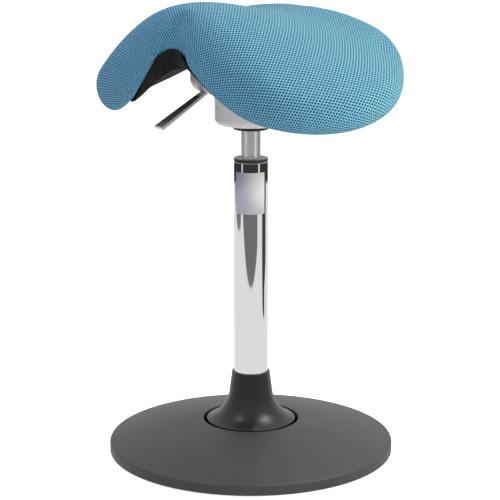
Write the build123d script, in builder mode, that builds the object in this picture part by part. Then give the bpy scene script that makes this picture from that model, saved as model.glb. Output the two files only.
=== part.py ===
from build123d import *
import math
import os

os.makedirs("parts", exist_ok=True)

# Saddle stool on a column that sways. Sizes in mm, floor at z 0, sitter faces -Y.

# Fits between mating pieces
running = 0.05
rest_gap = 0.3

# Foot
base_r = 208.0
rim_h = 16.2
rim_round = 3.0
cover_wall = 4.0
cover_lift = 2.0
opening_r = 69.5
opening_z = 47.3
opening_round = 1.5
lip_depth = 8.0
dome_bulge = 2.5
rib_count = 12
rib_t = 3.0
rib_inner_r = 80.0
rib_end_gap = 8.0
rib_lift = 2.0
rib_root = 1.0
floor_ring_t = 4.0
floor_ring_w = 20.0
floor_ring_inset = 5.5
plate_t = 8.0
plate_gap = 0.5
base_screw_count = 6
base_screw_pcd_r = 150.0
base_screw_r = 2.2
base_screw_hole_r = 2.75
base_screw_head_r = 5.0
base_boss_r = 7.0
base_boss_hole = 14.0
plate_z = floor_ring_t
plate_top = plate_z + plate_t
plate_r = base_r - cover_wall - plate_gap
floor_ring_r = plate_r - floor_ring_inset

# Sway joint
pivot_z = 30.0
pin_r = 4.0
bush_r = 6.5
lug_r = 9.5
lug_t = 8.0
lug_gap = 2.0
ring_r = 45.0
ring_bore_r = 35.0
ring_h = 18.0
ring_round = 1.5
yoke_r = 58.0
yoke_bore_r = 34.0
yoke_t = 4.0
stop_r = 31.0
stop_bore_r = 14.0
stop_t = 5.4
stop_round = 2.0
lug_x = ring_r + lug_gap

# Column
tube_r = 25.0
tube_wall = 2.0
tube_top = 431.0
tube_edge = 0.6
hub_r = 27.0
hub_bottom = 21.0
hub_chamfer = 3.0
hub_floor = 41.0
hub_socket_r = 29.5
hub_socket_top = 66.0
hub_flare_below = 3.0
hub_flare_above = 1.0
hub_pin_depth = 9.0
tube_bore_r = tube_r - tube_wall

# Bell round the foot of the column
bell_r = 65.1
bell_edge_z = 47.0
bell_wall = 3.0
bell_lip_r = 27.6
bell_lip_z = 119.5
bell_grip = 8.0
bell_waist_r = 31.7
bell_waist_z = 88.0
bell_lip_round = 1.2

# Guide bush in the top of the tube
guide_len = 96.0
guide_groove = 1.2
guide_groove_r = 23.8
guide_collar_r = 24.8
guide_collar_t = 3.6
guide_edge = 0.8

# Gas lift
cylinder_r = 14.0
cylinder_bore_r = 10.5
cylinder_show = 41.2
taper_below = 2.0
taper_len = 66.0
taper_slope = 0.025
cylinder_lip = 2.0
cylinder_lip_r = 8.0
rod_r = 5.0
rod_neck_r = 4.0
rod_end = 46.0
clip_z = 52.5
clip_t = 3.2
clip_r = 9.0
clip_mouth = 7.0
tube_floor_z = 56.0
tube_floor_t = 4.0
race_r = 16.0
race_bore_r = 6.0
race_t = 2.5
ball_r = 2.0
ball_count = 10
ball_pcd_r = 11.0
cage_t = 1.6
cage_r = 15.0
cage_bore_r = 7.5
bumper_len = 23.0
bumper_r = 13.0
bumper_waist_r = 11.0
piston_z = 318.0
piston_len = 14.0
seal_w = 4.0
seal_depth = 2.0
rod_guide_len = 18.0
valve_body_len = 41.0
valve_pin_r = 3.5
valve_pin_len = 27.0
valve_pin_out = 5.0
valve_room = 6.0

# Heights of the stack on the tube floor
lower_race_z = tube_floor_z + tube_floor_t
ball_z = lower_race_z + race_t + ball_r
upper_race_z = ball_z + ball_r + running
bumper_z = upper_race_z + race_t
cylinder_z = bumper_z + bumper_len + rest_gap
rod_top = piston_z + piston_len

# Bracket under the seat
cup_r = 51.7
cup_h = 48.0
cup_round = 9.0
cup_wall = 4.0
tier_r = 86.0
tier_h = 38.0
tier_round = 18.0
tier_wall = 4.0
boss_r = 19.0
boss_chamfer = 2.0
bracket_rib_t = 3.0
cup_rib_count = 6
cup_rib_h = 32.0
tier_rib_count = 8
tier_rib_h = 24.0
collar_r = 26.0
collar_t = 7.0
seat_screw_pcd_r = 62.0
seat_screw_count = 4
seat_screw_r = 4.0
seat_screw_hole_r = 4.3
seat_screw_head_r = 6.5
seat_screw_head_t = 6.0
seat_screw_boss_r = 9.0
seat_screw_sink = 9.0

# Height lever: it points out under the front of the seat, a little to the sitter's right
lever_angle = 252.0
lever_w = 22.0
lever_root_w = 12.6
lever_taper = 84.0
lever_t = 5.0
lever_edge = 1.0
lever_corner = 7.0
lever_pivot_r = 42.0
lever_inner_r = 8.0
lever_tip_r = 151.0
lever_droop = 30.8
lever_bend_r = 14.0
lever_boss_r = 6.0
lever_pin_r = 3.0
lever_side = 1.0
lever_lug_t = 5.0
lever_lug_r = 6.5
slot_inner_r = 62.0
slot_h = 14.0

# Heights of the stack on the column
collar_z = tube_top + guide_groove + guide_collar_t + cylinder_show
cup_z = collar_z + collar_t
tier_z = cup_z + cup_h
bracket_top = tier_z + tier_h
cup_rib_top = cup_z + cup_rib_h
tier_rib_top = tier_z + tier_rib_h
taper_z = cup_z - taper_below
cylinder_top = taper_z + taper_len
valve_body_z = cylinder_top - cylinder_lip - valve_body_len
valve_pin_top = cylinder_top + valve_pin_out
lever_z = valve_pin_top + rest_gap + lever_t / 2

# Saddle: heights above the bracket, radii and wing length run from the front end to the rear end
seat_front_y = -173.3
seat_rear_y = 118.1
ridge_rises = (71.7, 131.3, 37.2, 90.9)
crown_radii = (91.2, 232.4, 483.6, 449.4)
crown_angle = 32.2
side_r = 359.4
wing_len = 234.9
wing_front = 0.99
wing_rear = 0.87
pad_front = 73.9
pad_rear = 56.5
nose_front = 36.0
nose_rear = 43.2
nose_edge = 0.12
station_count = 15
cover_t = 2.5
shell_t = 9.0
shell_inset = 14.0
shell_ledge = 6.0
bond_gap = 0.1
dust_t = 1.2
dust_front = 2.5
dust_rear = 2.5
dust_wing = 2.0
dust_gap = 0.45
mount_ring_r = 80.0
mount_ring_bore_r = 48.0
mount_root = 4.0
tee_rise = 18.0
tee_len = 12.0
tee_barrel_r = 5.5
tee_flange_r = 9.0
tee_flange_t = 1.6
ridge_heights = [bracket_top + rise for rise in ridge_rises]
tee_z = bracket_top + tee_rise
shell_rear = seat_rear_y - mount_ring_r - shell_ledge


def upright(angle):
    """Vertical plane through the column axis, turned by an angle in degrees."""
    a = math.radians(angle)
    return Plane(
        origin=(0, 0, 0),
        x_dir=(math.cos(a), math.sin(a), 0),
        z_dir=(math.sin(a), -math.cos(a), 0),
    )


def turned(*points):
    """Half section of a turned piece, as radius and height points."""
    with BuildSketch(Plane.XZ) as half:
        with BuildLine():
            Polyline(*points, close=True)
        make_face()
    return half.sketch


def sleeve(outer, inner, low, high):
    """Half section of a plain sleeve or washer."""
    return turned((inner, low), (outer, low), (outer, high), (inner, high))


def circles(part, radius):
    """Circular edges of one radius, lowest first."""
    round_edges = part.edges().filter_by(GeomType.CIRCLE)
    return round_edges.filter_by(lambda e: abs(e.radius - radius) < 1e-3).sort_by(Axis.Z)


def dome_chord(r):
    """Height of the straight line from the rim to the opening."""
    return rim_h + (base_r - r) / (base_r - opening_r) * (opening_z - rim_h)


def along(values, t):
    """Value of a smooth run of four sizes, t from 0 to 1."""
    a, b, c, d = values
    return a * (1 - t) ** 3 + 3 * b * t * (1 - t) ** 2 + 3 * c * t**2 * (1 - t) + d * t**3


def pad_full(y):
    """Thickness of the pad at a station, without its rounded ends."""
    t = (y - seat_front_y) / (seat_rear_y - seat_front_y)
    return pad_front + (pad_rear - pad_front) * t


def front_fall(y):
    """How far round the front nose a station lies, as a circle falls: 1 on the body, 0 at the end."""
    ahead = min(1, max(0, (seat_front_y + nose_front - y) / nose_front))
    return math.sqrt(1 - ahead**2)


def rear_fall(y):
    """The same at the rear nose."""
    behind = min(1, max(0, (y - seat_rear_y + nose_rear) / nose_rear))
    return math.sqrt(1 - behind**2)


def pad_half(y):
    """Half the pad's thickness at a station, drawn in at the front and rear ends."""
    return pad_full(y) / 2 * max(nose_edge, front_fall(y) * rear_fall(y))


def saddle(y, up, down, short=0, round_tip=True):
    """Section of a saddle layer at a station.

    The layer follows the pad's middle line: a crown arc and a side arc on each hand.
    up and down are its distances above and below that line, short its distance from the tip.
    """
    t = (y - seat_front_y) / (seat_rear_y - seat_front_y)
    reach = abs(2 * t - 1) * (wing_front if t < 0.5 else wing_rear)
    length = wing_len * math.sqrt(1 - reach**2) - nose_rear * (1 - rear_fall(y)) - short
    crown = along(crown_radii, t) - pad_full(y) / 2
    side = side_r - pad_full(y) / 2
    split = min(math.radians(crown_angle), 0.7 * length / crown)
    tip = split + (length - crown * split) / side
    low = along(ridge_heights, t) - pad_full(y) / 2 - crown
    side_x = (crown - side) * math.sin(split)
    side_z = low + (crown - side) * math.cos(split)

    def on_crown(angle, out):
        return ((crown + out) * math.sin(angle), low + (crown + out) * math.cos(angle))

    def on_side(hand, angle, out):
        r = side + out
        return (hand * (side_x + r * math.sin(angle)), side_z + r * math.cos(angle))

    def off_tip(hand, turn):
        x, z = on_side(1, tip, 0)
        return (hand * (x + up * math.sin(tip + turn)), z + up * math.cos(tip + turn))

    middle = (split + tip) / 2
    eighth = math.pi / 4
    with BuildSketch(Plane.XZ.offset(-y)) as section:
        with BuildLine():
            ThreePointArc(on_crown(-split, up), on_crown(0, up), on_crown(split, up))
            ThreePointArc(on_side(1, split, up), on_side(1, middle, up), on_side(1, tip, up))
            if round_tip:
                for k in (0, 2):
                    ThreePointArc(*[off_tip(1, eighth * (k + j)) for j in range(3)])
            else:
                Line(on_side(1, tip, up), on_side(1, tip, -down))
            ThreePointArc(on_side(1, tip, -down), on_side(1, middle, -down), on_side(1, split, -down))
            ThreePointArc(on_crown(split, -down), on_crown(0, -down), on_crown(-split, -down))
            ThreePointArc(on_side(-1, split, -down), on_side(-1, middle, -down), on_side(-1, tip, -down))
            if round_tip:
                for k in (4, 2):
                    ThreePointArc(*[off_tip(-1, eighth * (k - j)) for j in range(3)])
            else:
                Line(on_side(-1, tip, -down), on_side(-1, tip, up))
            ThreePointArc(on_side(-1, tip, up), on_side(-1, middle, up), on_side(-1, split, up))
        make_face()
    return section.sketch


def stations(front, rear):
    """Stations between two ends, closer together near the ends."""
    steps = station_count - 1
    spread = [(1 - math.cos(math.pi * k / steps)) / 2 for k in range(station_count)]
    return [front + (rear - front) * s for s in spread]


def pad(inset):
    """The padded seat as one solid, drawn in all round by an inset."""
    ends = stations(seat_front_y + inset, seat_rear_y - inset)
    with BuildPart() as solid:
        loft([saddle(y, pad_half(y) - inset, pad_half(y) - inset) for y in ends])
    return solid.part


def under_layer(front, rear, short, low, high):
    """A layer on the underside, between two heights above the pad's lower face."""
    ends = stations(seat_front_y + front, seat_rear_y - rear)
    with BuildPart() as solid:
        loft([saddle(y, high - pad_half(y), pad_half(y) - low, short, False) for y in ends])
    return solid.part


def taper_r(z):
    """Radius of the seat taper at a height."""
    return cylinder_r - (z - taper_z) * taper_slope


# Base cover: a domed skin with an upright rim, a lip round the opening, ribs and screw bosses
dome_mid_r = (base_r + opening_r) / 2
rib_outer_r = base_r - cover_wall - rib_end_gap
with BuildPart() as base_cover:
    with BuildSketch(Plane.XZ):
        with BuildLine():
            Line((base_r, cover_lift), (base_r, rim_h))
            ThreePointArc(
                (base_r, rim_h),
                (dome_mid_r, dome_chord(dome_mid_r) + dome_bulge),
                (opening_r, opening_z),
            )
            Polyline(
                (opening_r, opening_z),
                (opening_r, opening_z - lip_depth),
                (opening_r + cover_wall, opening_z - lip_depth),
                (opening_r + cover_wall, dome_chord(opening_r + cover_wall) - cover_wall),
            )
            ThreePointArc(
                (opening_r + cover_wall, dome_chord(opening_r + cover_wall) - cover_wall),
                (dome_mid_r, dome_chord(dome_mid_r) + dome_bulge - cover_wall),
                (base_r - cover_wall, dome_chord(base_r - cover_wall) - cover_wall),
            )
            Polyline(
                (base_r - cover_wall, dome_chord(base_r - cover_wall) - cover_wall),
                (base_r - cover_wall, cover_lift),
                (base_r, cover_lift),
            )
        make_face()
    revolve(axis=Axis.Z)
    with BuildSketch(*[upright(360 / rib_count * (k + 0.5)) for k in range(rib_count)]):
        with BuildLine():
            Polyline(
                (rib_inner_r, plate_top + rib_lift),
                (rib_outer_r, plate_top + rib_lift),
                (rib_outer_r, dome_chord(rib_outer_r) - rib_root),
                (rib_inner_r, dome_chord(rib_inner_r) - rib_root),
                close=True,
            )
        make_face()
    extrude(amount=rib_t / 2, both=True)
    with BuildSketch(Plane.XY.offset(plate_top)):
        with PolarLocations(base_screw_pcd_r, base_screw_count):
            Circle(base_boss_r)
    extrude(amount=dome_chord(base_screw_pcd_r) - plate_top)
    with BuildSketch(Plane.XY.offset(plate_top)):
        with PolarLocations(base_screw_pcd_r, base_screw_count):
            Circle(base_screw_r)
    extrude(amount=base_boss_hole, mode=Mode.SUBTRACT)
    fillet(circles(base_cover.part, base_r)[-1], rim_round)
    fillet(circles(base_cover.part, opening_r)[-1], opening_round)
base_cover.part.label = "base_cover"
export_step(base_cover.part, "parts/base_cover.step")

# Base plate: the steel weight, countersunk from below for the cover screws
with BuildPart() as base_plate:
    with BuildSketch(Plane.XY.offset(plate_z)):
        Circle(plate_r)
    extrude(amount=plate_t)
    chamfer(circles(base_plate.part, plate_r), 1)
    with Locations(Plane(origin=(0, 0, plate_z), z_dir=(0, 0, -1))):
        with PolarLocations(base_screw_pcd_r, base_screw_count):
            CounterSinkHole(base_screw_hole_r, base_screw_head_r, depth=plate_t)
base_plate.part.label = "base_plate"
export_step(base_plate.part, "parts/base_plate.step")

# Floor ring: rubber tread with a rounded sole
with BuildPart() as floor_ring:
    revolve(sleeve(floor_ring_r, floor_ring_r - floor_ring_w, 0, floor_ring_t), axis=Axis.Z)
    fillet(floor_ring.edges().group_by(Axis.Z)[0], 1.2)
floor_ring.part.label = "floor_ring"
export_step(floor_ring.part, "parts/floor_ring.step")

# Base screws: countersunk heads below, shanks up into the cover's bosses
head_depth = base_screw_head_r - base_screw_hole_r
with BuildPart() as base_screws:
    for k in range(base_screw_count):
        a = math.radians(360 / base_screw_count * k)
        with Locations((base_screw_pcd_r * math.cos(a), base_screw_pcd_r * math.sin(a), plate_z)):
            Cone(
                base_screw_head_r,
                base_screw_hole_r,
                head_depth,
                align=(Align.CENTER, Align.CENTER, Align.MIN),
            )
            Cylinder(
                base_screw_r,
                plate_t + base_boss_hole - 2,
                align=(Align.CENTER, Align.CENTER, Align.MIN),
            )
base_screws.part.label = "base_screws"
export_step(base_screws.part, "parts/base_screws.step")

# Pivot yoke: a flange on the plate with two upright lugs on the X axis
with BuildPart() as pivot_yoke:
    revolve(sleeve(yoke_r, yoke_bore_r, plate_top, plate_top + yoke_t), axis=Axis.Z)
    with BuildSketch(Plane.YZ.offset(lug_x), Plane.YZ.offset(-lug_x - lug_t)):
        with Locations((0, pivot_z)):
            Circle(lug_r)
        with Locations((0, plate_top)):
            Rectangle(2 * lug_r, pivot_z - plate_top, align=(Align.CENTER, Align.MIN))
    extrude(amount=lug_t)
    with BuildSketch(Plane.YZ.offset(-lug_x - lug_t)):
        with Locations((0, pivot_z)):
            Circle(bush_r)
    extrude(amount=2 * (lug_x + lug_t), mode=Mode.SUBTRACT)
pivot_yoke.part.label = "pivot_yoke"
export_step(pivot_yoke.part, "parts/pivot_yoke.step")

# Yoke bushes: rubber sleeves in the lugs that spring the column upright
with BuildPart() as yoke_bushes:
    with BuildSketch(Plane.YZ.offset(lug_x), Plane.YZ.offset(-lug_x - lug_t)):
        with Locations((0, pivot_z)):
            Circle(bush_r)
            Circle(pin_r + running, mode=Mode.SUBTRACT)
    extrude(amount=lug_t)
yoke_bushes.part.label = "yoke_bushes"
export_step(yoke_bushes.part, "parts/yoke_bushes.step")

# Stop ring: rubber pad under the hub that ends the sway
with BuildPart() as stop_ring:
    revolve(sleeve(stop_r, stop_bore_r, plate_top, plate_top + stop_t), axis=Axis.Z)
    fillet(stop_ring.edges().group_by(Axis.Z)[-1], stop_round)
stop_ring.part.label = "stop_ring"
export_step(stop_ring.part, "parts/stop_ring.step")

# Gimbal ring: bored for its own pins on X and for the hub's bushes on Y
with BuildPart() as gimbal_ring:
    revolve(
        sleeve(ring_r, ring_bore_r, pivot_z - ring_h / 2, pivot_z + ring_h / 2),
        axis=Axis.Z,
    )
    fillet(gimbal_ring.edges().filter_by(GeomType.CIRCLE), ring_round)
    with BuildSketch(Plane.YZ.offset(-ring_r)):
        with Locations((0, pivot_z)):
            Circle(pin_r)
    extrude(amount=2 * ring_r, mode=Mode.SUBTRACT)
    with BuildSketch(Plane.XZ.offset(-ring_r)):
        with Locations((0, pivot_z)):
            Circle(bush_r)
    extrude(amount=2 * ring_r, mode=Mode.SUBTRACT)
gimbal_ring.part.label = "gimbal_ring"
export_step(gimbal_ring.part, "parts/gimbal_ring.step")

# Ring pins: fixed in the ring, turning in the yoke bushes
ring_pin_len = lug_x + lug_t - ring_bore_r
with BuildPart() as ring_pins:
    with BuildSketch(Plane.YZ.offset(ring_bore_r), Plane.YZ.offset(-lug_x - lug_t)):
        with Locations((0, pivot_z)):
            Circle(pin_r)
    extrude(amount=ring_pin_len)
ring_pins.part.label = "ring_pins"
export_step(ring_pins.part, "parts/ring_pins.step")

# Ring bushes: rubber sleeves in the ring for the hub pins
with BuildPart() as ring_bushes:
    with BuildSketch(Plane.XZ.offset(-ring_r), Plane.XZ.offset(ring_bore_r)):
        with Locations((0, pivot_z)):
            Circle(bush_r)
            Circle(pin_r + running, mode=Mode.SUBTRACT)
    extrude(amount=ring_r - ring_bore_r)
ring_bushes.part.label = "ring_bushes"
export_step(ring_bushes.part, "parts/ring_bushes.step")

# Column hub: the socket that holds the tube, bored on Y for its pins
with BuildPart() as column_hub:
    revolve(
        turned(
            (0, hub_bottom),
            (hub_r - hub_chamfer, hub_bottom),
            (hub_r, hub_bottom + hub_chamfer),
            (hub_r, hub_floor - hub_flare_below),
            (hub_socket_r, hub_floor + hub_flare_above),
            (hub_socket_r, hub_socket_top),
            (tube_r, hub_socket_top),
            (tube_r, hub_floor),
            (0, hub_floor),
        ),
        axis=Axis.Z,
    )
    chamfer(circles(column_hub.part, hub_socket_r)[-1], 1)
    with BuildSketch(Plane.XZ.offset(-hub_r), Plane.XZ.offset(hub_r - hub_pin_depth)):
        with Locations((0, pivot_z)):
            Circle(pin_r)
    extrude(amount=hub_pin_depth, mode=Mode.SUBTRACT)
column_hub.part.label = "column_hub"
export_step(column_hub.part, "parts/column_hub.step")

# Hub pins: fixed in the hub, turning in the ring bushes
with BuildPart() as hub_pins:
    with BuildSketch(Plane.XZ.offset(-ring_r), Plane.XZ.offset(hub_r - hub_pin_depth)):
        with Locations((0, pivot_z)):
            Circle(pin_r)
    extrude(amount=ring_r - hub_r + hub_pin_depth)
hub_pins.part.label = "hub_pins"
export_step(hub_pins.part, "parts/hub_pins.step")

# Bell: a tapered sleeve that grips the tube and flares out to the opening
waist_lean = (bell_waist_r - bell_lip_r, bell_waist_z - bell_lip_z)
inner_lip_z = bell_lip_z - bell_grip - bell_wall
inner_lip_r = bell_lip_r + (bell_lip_z - inner_lip_z) / (bell_lip_z - bell_waist_z) * waist_lean[0]
with BuildPart() as bell:
    with BuildSketch(Plane.XZ):
        with BuildLine():
            Line((bell_lip_r, bell_lip_z), (bell_waist_r, bell_waist_z))
            TangentArc(
                (bell_waist_r, bell_waist_z),
                (bell_r, bell_edge_z),
                tangent=waist_lean,
            )
            Line((bell_r, bell_edge_z), (bell_r, bell_edge_z - bell_wall))
            TangentArc(
                (bell_waist_r - bell_wall, bell_waist_z),
                (bell_r, bell_edge_z - bell_wall),
                tangent=waist_lean,
            )
            Polyline(
                (bell_waist_r - bell_wall, bell_waist_z),
                (inner_lip_r - bell_wall, inner_lip_z),
                (tube_r, bell_lip_z - bell_grip),
                (tube_r, bell_lip_z),
                (bell_lip_r, bell_lip_z),
            )
        make_face()
    revolve(axis=Axis.Z)
    fillet(circles(bell.part, bell_lip_r)[-1], bell_lip_round)
    fillet(circles(bell.part, bell_r), 1)
bell.part.label = "bell"
export_step(bell.part, "parts/bell.step")

# Outer tube
with BuildPart() as outer_tube:
    revolve(sleeve(tube_r, tube_bore_r, hub_floor, tube_top), axis=Axis.Z)
    fillet(circles(outer_tube.part, tube_r)[-1], tube_edge)
outer_tube.part.label = "outer_tube"
export_step(outer_tube.part, "parts/outer_tube.step")

# Guide bush: runs inside the tube top, with a groove and a collar above it
guide_bore_r = cylinder_r + running
groove_top = tube_top + guide_groove
with BuildPart() as guide_bush:
    revolve(
        turned(
            (guide_bore_r, tube_top - guide_len),
            (tube_bore_r, tube_top - guide_len),
            (tube_bore_r, tube_top),
            (guide_groove_r, tube_top),
            (guide_groove_r, groove_top),
            (guide_collar_r, groove_top),
            (guide_collar_r, groove_top + guide_collar_t),
            (guide_bore_r, groove_top + guide_collar_t),
        ),
        axis=Axis.Z,
    )
    fillet(circles(guide_bush.part, guide_collar_r)[-1], guide_edge)
guide_bush.part.label = "guide_bush"
export_step(guide_bush.part, "parts/guide_bush.step")

# Tube floor: the plate the rod hangs on
with BuildPart() as tube_floor:
    revolve(
        sleeve(tube_bore_r, rod_r + running, tube_floor_z, tube_floor_z + tube_floor_t),
        axis=Axis.Z,
    )
tube_floor.part.label = "tube_floor"
export_step(tube_floor.part, "parts/tube_floor.step")

# Lower race
with BuildPart() as lower_race:
    revolve(sleeve(race_r, race_bore_r, lower_race_z, lower_race_z + race_t), axis=Axis.Z)
lower_race.part.label = "lower_race"
export_step(lower_race.part, "parts/lower_race.step")

# Bearing balls: tangent to the lower race
with BuildPart() as bearing_balls:
    with Locations((0, 0, ball_z)):
        with PolarLocations(ball_pcd_r, ball_count):
            Sphere(ball_r)
bearing_balls.part.label = "bearing_balls"
export_step(bearing_balls.part, "parts/bearing_balls.step")

# Ball cage: holds the balls at their equators
with BuildPart() as ball_cage:
    revolve(sleeve(cage_r, cage_bore_r, ball_z - cage_t / 2, ball_z + cage_t / 2), axis=Axis.Z)
    with BuildSketch(Plane.XY.offset(ball_z - cage_t / 2)):
        with PolarLocations(ball_pcd_r, ball_count):
            Circle(ball_r)
    extrude(amount=cage_t, mode=Mode.SUBTRACT)
ball_cage.part.label = "ball_cage"
export_step(ball_cage.part, "parts/ball_cage.step")

# Upper race
with BuildPart() as upper_race:
    revolve(sleeve(race_r, rod_r, upper_race_z, upper_race_z + race_t), axis=Axis.Z)
upper_race.part.label = "upper_race"
export_step(upper_race.part, "parts/upper_race.step")

# Bumper: waisted rubber sleeve the cylinder comes to rest on
with BuildPart() as bumper:
    with BuildSketch(Plane.XZ):
        with BuildLine():
            Line((rod_r, bumper_z), (bumper_r, bumper_z))
            ThreePointArc(
                (bumper_r, bumper_z),
                (bumper_waist_r, bumper_z + bumper_len / 2),
                (bumper_r, bumper_z + bumper_len),
            )
            Polyline(
                (bumper_r, bumper_z + bumper_len),
                (rod_r, bumper_z + bumper_len),
                (rod_r, bumper_z),
            )
        make_face()
    revolve(axis=Axis.Z)
bumper.part.label = "bumper"
export_step(bumper.part, "parts/bumper.step")

# Piston rod: necked for the clip below and for the piston above
with BuildPart() as piston_rod:
    revolve(
        turned(
            (0, rod_end),
            (rod_r - 1, rod_end),
            (rod_r, rod_end + 1),
            (rod_r, clip_z),
            (rod_neck_r, clip_z),
            (rod_neck_r, clip_z + clip_t),
            (rod_r, clip_z + clip_t),
            (rod_r, piston_z),
            (rod_neck_r, piston_z),
            (rod_neck_r, rod_top),
            (0, rod_top),
        ),
        axis=Axis.Z,
    )
piston_rod.part.label = "piston_rod"
export_step(piston_rod.part, "parts/piston_rod.step")

# Rod clip: open ring sprung into the rod's neck
with BuildPart() as rod_clip:
    with BuildSketch(Plane.XY.offset(clip_z)):
        Circle(clip_r)
        Circle(rod_neck_r, mode=Mode.SUBTRACT)
        with Locations((clip_r / 2, 0)):
            Rectangle(clip_r, clip_mouth, mode=Mode.SUBTRACT)
    extrude(amount=clip_t)
rod_clip.part.label = "rod_clip"
export_step(rod_clip.part, "parts/rod_clip.step")

# Piston: grooved for its seal
piston_r = cylinder_bore_r - running
seal_z = piston_z + (piston_len - seal_w) / 2
with BuildPart() as piston:
    revolve(
        turned(
            (rod_neck_r, piston_z),
            (piston_r, piston_z),
            (piston_r, seal_z),
            (piston_r - seal_depth, seal_z),
            (piston_r - seal_depth, seal_z + seal_w),
            (piston_r, seal_z + seal_w),
            (piston_r, rod_top),
            (rod_neck_r, rod_top),
        ),
        axis=Axis.Z,
    )
piston.part.label = "piston"
export_step(piston.part, "parts/piston.step")

# Piston seal
with BuildPart() as piston_seal:
    revolve(sleeve(piston_r, piston_r - seal_depth, seal_z, seal_z + seal_w), axis=Axis.Z)
    fillet(circles(piston_seal.part, piston_r), 0.8)
piston_seal.part.label = "piston_seal"
export_step(piston_seal.part, "parts/piston_seal.step")

# Gas cylinder: rolled in at both ends, tapered at the top for the bracket
with BuildPart() as gas_cylinder:
    revolve(
        turned(
            (cylinder_lip_r, cylinder_z),
            (cylinder_r, cylinder_z),
            (cylinder_r, taper_z),
            (taper_r(cylinder_top), cylinder_top),
            (cylinder_lip_r, cylinder_top),
            (cylinder_lip_r, cylinder_top - cylinder_lip),
            (cylinder_bore_r, cylinder_top - cylinder_lip),
            (cylinder_bore_r, cylinder_z + cylinder_lip),
            (cylinder_lip_r, cylinder_z + cylinder_lip),
        ),
        axis=Axis.Z,
    )
    fillet(circles(gas_cylinder.part, cylinder_r)[0], 1.5)
gas_cylinder.part.label = "gas_cylinder"
export_step(gas_cylinder.part, "parts/gas_cylinder.step")

# Rod guide: closes the bottom of the cylinder round the rod
rod_guide_z = cylinder_z + cylinder_lip
with BuildPart() as rod_guide:
    revolve(
        sleeve(cylinder_bore_r, rod_r + running, rod_guide_z, rod_guide_z + rod_guide_len),
        axis=Axis.Z,
    )
rod_guide.part.label = "rod_guide"
export_step(rod_guide.part, "parts/rod_guide.step")

# Valve body: closes the top of the cylinder and guides the valve pin
valve_pin_z = valve_pin_top - valve_pin_len
with BuildPart() as valve_body:
    revolve(
        turned(
            (0, valve_body_z),
            (cylinder_bore_r, valve_body_z),
            (cylinder_bore_r, cylinder_top - cylinder_lip),
            (valve_pin_r + running, cylinder_top - cylinder_lip),
            (valve_pin_r + running, valve_pin_z - valve_room),
            (0, valve_pin_z - valve_room),
        ),
        axis=Axis.Z,
    )
valve_body.part.label = "valve_body"
export_step(valve_body.part, "parts/valve_body.step")

# Valve pin: pressed down by the lever to free the lift
with BuildPart() as valve_pin:
    with Locations((0, 0, valve_pin_z)):
        Cylinder(valve_pin_r, valve_pin_len, align=(Align.CENTER, Align.CENTER, Align.MIN))
    fillet(valve_pin.edges().group_by(Axis.Z)[-1], 1)
valve_pin.part.label = "valve_pin"
export_step(valve_pin.part, "parts/valve_pin.step")

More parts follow.
